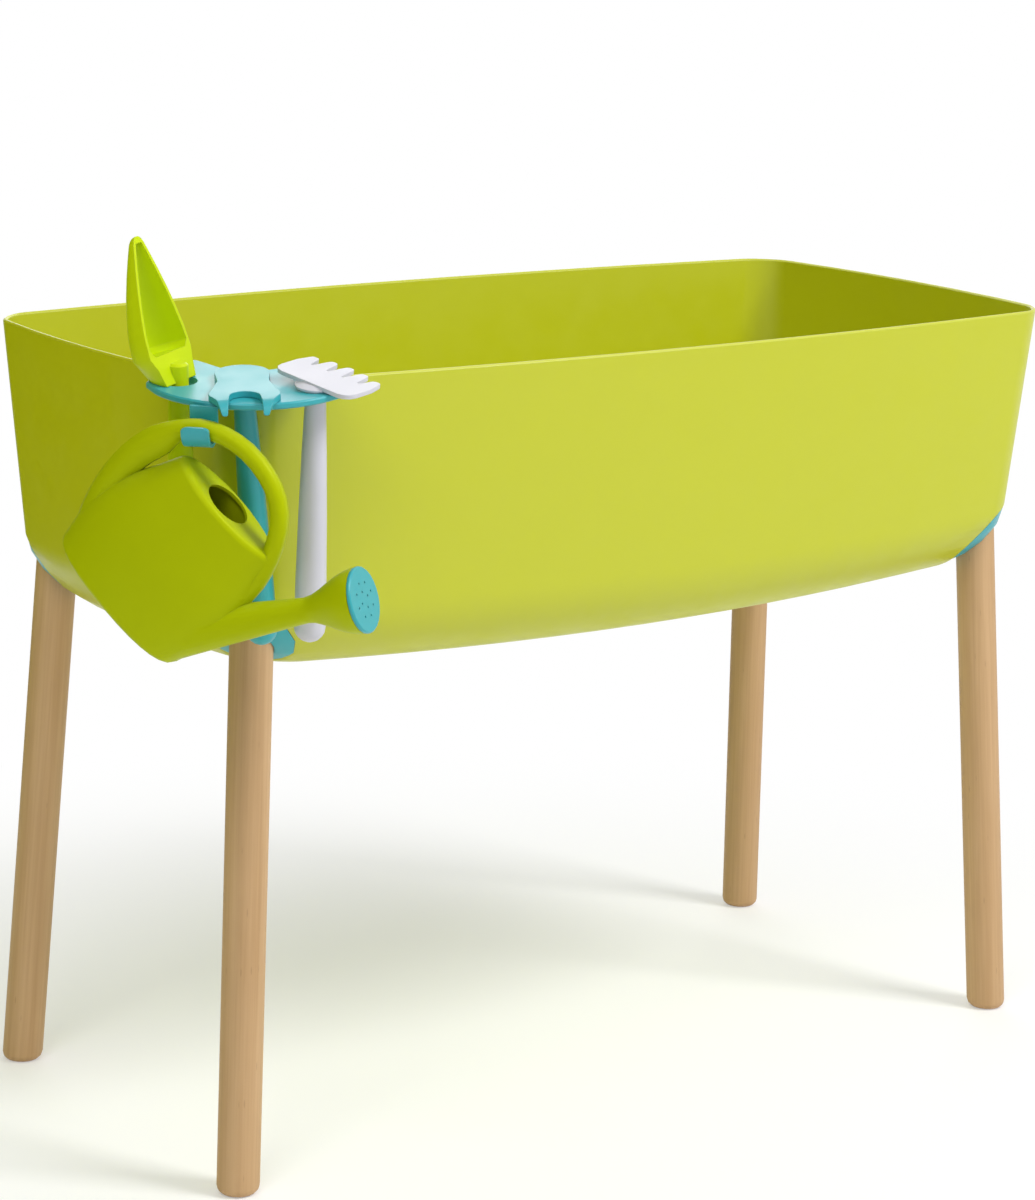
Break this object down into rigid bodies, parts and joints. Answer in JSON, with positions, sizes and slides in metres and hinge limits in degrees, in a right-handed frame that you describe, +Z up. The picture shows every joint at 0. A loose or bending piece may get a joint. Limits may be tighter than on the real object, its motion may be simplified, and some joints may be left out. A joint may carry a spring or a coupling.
{
  "type": "children's grow table",
  "caption": "Boat-shaped planter trough on splayed wooden legs, with a corner tool holder that carries a trowel, a cultivator, a rake and a small watering can.",
  "frame": {"origin": "on the floor, at the middle of the whole object's footprint box", "axes": "+Z up, X along the trough, the front faces -Y and the tool holder is at the -X, -Y corner"},
  "size_m": [0.8666, 0.5088, 0.6649],
  "materials": {
    "lime_plastic": "satin",
    "green_plastic": "satin",
    "teal_plastic": "satin",
    "white_plastic": "satin",
    "beech": "clear matt lacquer",
    "zinc_steel": "zinc plated",
    "rubber": "matt"
  },
  "bodies": {
    "table": {"trough": "lime_plastic", "leg_socket_front_left": "teal_plastic", "leg_front_left": "beech", "leg_screw_front_left": "zinc_steel", "screw_seal_front_left": "rubber", "leg_socket_front_right": "teal_plastic", "leg_front_right": "beech", "leg_screw_front_right": "zinc_steel", "screw_seal_front_right": "rubber", "leg_socket_back_left": "teal_plastic", "leg_back_left": "beech", "leg_screw_back_left": "zinc_steel", "screw_seal_back_left": "rubber", "leg_socket_back_right": "teal_plastic", "leg_back_right": "beech", "leg_screw_back_right": "zinc_steel", "screw_seal_back_right": "rubber"},
    "drain_plug": {"drain_plug": "teal_plastic"},
    "holder": {"tool_holder": "teal_plastic"},
    "trowel": {"trowel": "green_plastic"},
    "cultivator": {"cultivator": "teal_plastic"},
    "rake": {"rake": "white_plastic"},
    "can": {"watering_can": "green_plastic", "rose": "teal_plastic"}
  },
  "joints": [
    {"name": "holder_lift", "type": "slide", "parent": "table", "child": "holder", "axis": [-0.0679, -0.0679, 0.9954], "range_m": [0, 0.05]},
    {"name": "trowel_lift", "type": "slide", "parent": "holder", "child": "trowel", "axis": [-0.0862, -0.0862, 0.9925], "range_m": [0, 0.2]},
    {"name": "cultivator_lift", "type": "slide", "parent": "holder", "child": "cultivator", "axis": [-0.1231, -0.049, 0.9912], "range_m": [0, 0.2]},
    {"name": "rake_lift", "type": "slide", "parent": "holder", "child": "rake", "axis": [-0.0733, -0.1367, 0.9879], "range_m": [0, 0.2]},
    {"name": "can_lift", "type": "slide", "parent": "holder", "child": "can", "axis": [-0.0862, -0.0862, 0.9925], "range_m": [0, 0.005]},
    {"name": "drain_plug_pull", "type": "slide", "parent": "table", "child": "drain_plug", "axis": [0, 0, -1], "range_m": [0, 0.03]}
  ]
}
